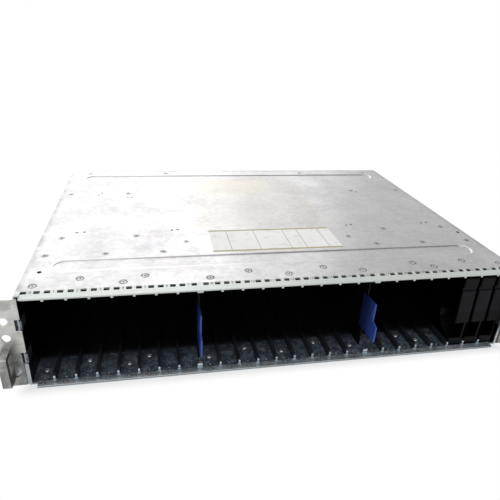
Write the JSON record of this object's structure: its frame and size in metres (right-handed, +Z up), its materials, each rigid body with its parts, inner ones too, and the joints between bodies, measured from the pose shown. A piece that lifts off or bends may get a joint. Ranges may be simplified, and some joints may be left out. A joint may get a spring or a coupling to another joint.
{
  "type": "disk shelf enclosure",
  "caption": "Low rack-mount drive enclosure: perforated steel chassis with upright drive slots, blue divider clips, slot fillers, rear power and controller modules.",
  "frame": {"origin": "centre of the underside of the chassis, midway between its front hem and its rear edge", "axes": "+X to the right seen from the front, +Y to the rear, +Z up"},
  "size_m": [0.4826, 0.3502, 0.0864],
  "materials": {
    "zinc_sheet": "bare zinc-plated sheet steel with a fine mottle",
    "cover_sheet": "bright galvanised sheet, faintly brushed and mottled",
    "ear_sheet": "zinc-plated sheet, faintly yellowed in places",
    "divider_sheet": "dark galvanised sheet",
    "rivet_steel": "bright rivets and screws",
    "spring_steel": "bright spring strip",
    "handle_casting": "plain cast metal, slightly rough",
    "clip_plastic": "royal blue moulded plastic",
    "guide_plastic": "black moulded plastic",
    "filler_plastic": "black moulded plastic with a fine grain",
    "circuit_board": "green circuit board",
    "connector_plastic": "black moulded plastic",
    "module_sheet": "bare zinc-plated sheet steel",
    "fan_plastic": "black moulded plastic",
    "lever_plastic": "dark grey moulded plastic",
    "port_metal": "plated port shell",
    "core_metal": "plain extruded metal"
  },
  "bodies": {
    "chassis": {"chassis_tray": "zinc_sheet", "top_cover": "cover_sheet", "cover_rivets": "rivet_steel", "floor_rivets": "rivet_steel", "ear_rivets": "rivet_steel", "bezel_clips": "spring_steel", "midplane_board": "circuit_board", "drive_connectors": "connector_plastic", "midplane_rails": "zinc_sheet", "module_connectors": "connector_plastic", "module_shelf": "zinc_sheet", "rack_ear_left": "ear_sheet", "rack_ear_right": "ear_sheet", "ear_handle_left": "handle_casting", "ear_handle_right": "handle_casting", "bay_partition_left": "zinc_sheet", "bay_partition_right": "zinc_sheet", "divider_wall_left": "divider_sheet", "divider_wall_right": "divider_sheet", "divider_clip_left": "clip_plastic", "divider_clip_right": "clip_plastic", "floor_guide_left": "guide_plastic", "floor_guide_middle": "guide_plastic", "floor_guide_right": "guide_plastic", "ceiling_guide_left": "guide_plastic", "ceiling_guide_middle": "guide_plastic", "ceiling_guide_right": "guide_plastic"},
    "filler_22": {"drive_filler_22": "filler_plastic"},
    "filler_23": {"drive_filler_23": "filler_plastic"},
    "filler_24": {"drive_filler_24": "filler_plastic"},
    "power_module_left": {"power_housing_left": "module_sheet", "power_inlet_left": "connector_plastic", "fan_frame_left": "fan_plastic", "power_core_left": "core_metal"},
    "fan_left": {"fan_rotor_left": "fan_plastic"},
    "power_latch_left": {"power_lever_left": "lever_plastic"},
    "power_module_right": {"power_housing_right": "module_sheet", "power_inlet_right": "connector_plastic", "fan_frame_right": "fan_plastic", "power_core_right": "core_metal"},
    "fan_right": {"fan_rotor_right": "fan_plastic"},
    "power_latch_right": {"power_lever_right": "lever_plastic"},
    "controller_lower": {"controller_tray_lower": "module_sheet", "controller_board_lower": "circuit_board", "controller_ports_lower": "port_metal", "controller_face_lower": "module_sheet"},
    "latch_lower_left": {"controller_lever_lower_left": "lever_plastic"},
    "latch_lower_right": {"controller_lever_lower_right": "lever_plastic"},
    "controller_upper": {"controller_tray_upper": "module_sheet", "controller_board_upper": "circuit_board", "controller_ports_upper": "port_metal", "controller_face_upper": "module_sheet"},
    "latch_upper_left": {"controller_lever_upper_left": "lever_plastic"},
    "latch_upper_right": {"controller_lever_upper_right": "lever_plastic"}
  },
  "joints": [
    {"name": "filler_22_slide", "type": "slide", "parent": "chassis", "child": "filler_22", "axis": [0, -1, 0], "range_m": [0, 0.1]},
    {"name": "filler_23_slide", "type": "slide", "parent": "chassis", "child": "filler_23", "axis": [0, -1, 0], "range_m": [0, 0.1]},
    {"name": "filler_24_slide", "type": "slide", "parent": "chassis", "child": "filler_24", "axis": [0, -1, 0], "range_m": [0, 0.1]},
    {"name": "power_module_left_slide", "type": "slide", "parent": "chassis", "child": "power_module_left", "axis": [0, 1, 0], "range_m": [0, 0.145]},
    {"name": "fan_left_spin", "type": "hinge", "parent": "power_module_left", "child": "fan_left", "pos_m": [-0.1888, 0.152, 0.0426], "axis": [0, 1, 0], "continuous": true},
    {"name": "power_latch_left_hinge", "type": "hinge", "parent": "power_module_left", "child": "power_latch_left", "pos_m": [-0.1548, 0.1697, 0.0117], "axis": [-1, 0, 0], "range_deg": [0, 80]},
    {"name": "power_module_right_slide", "type": "slide", "parent": "chassis", "child": "power_module_right", "axis": [0, 1, 0], "range_m": [0, 0.145]},
    {"name": "fan_right_spin", "type": "hinge", "parent": "power_module_right", "child": "fan_right", "pos_m": [0.1458, 0.152, 0.0426], "axis": [0, 1, 0], "continuous": true},
    {"name": "power_latch_right_hinge", "type": "hinge", "parent": "power_module_right", "child": "power_latch_right", "pos_m": [0.1798, 0.1697, 0.0117], "axis": [-1, 0, 0], "range_deg": [0, 80]},
    {"name": "controller_lower_slide", "type": "slide", "parent": "chassis", "child": "controller_lower", "axis": [0, 1, 0], "range_m": [0, 0.145]},
    {"name": "latch_lower_left_hinge", "type": "hinge", "parent": "controller_lower", "child": "latch_lower_left", "pos_m": [-0.1048, 0.1697, 0.0331], "axis": [0, 0, 1], "range_deg": [0, 75]},
    {"name": "latch_lower_right_hinge", "type": "hinge", "parent": "controller_lower", "child": "latch_lower_right", "pos_m": [0.1048, 0.1697, 0.0331], "axis": [0, 0, -1], "range_deg": [0, 75]},
    {"name": "controller_upper_slide", "type": "slide", "parent": "chassis", "child": "controller_upper", "axis": [0, 1, 0], "range_m": [0, 0.145]},
    {"name": "latch_upper_left_hinge", "type": "hinge", "parent": "controller_upper", "child": "latch_upper_left", "pos_m": [-0.1048, 0.1697, 0.0748], "axis": [0, 0, 1], "range_deg": [0, 75]},
    {"name": "latch_upper_right_hinge", "type": "hinge", "parent": "controller_upper", "child": "latch_upper_right", "pos_m": [0.1048, 0.1697, 0.0748], "axis": [0, 0, -1], "range_deg": [0, 75]}
  ]
}
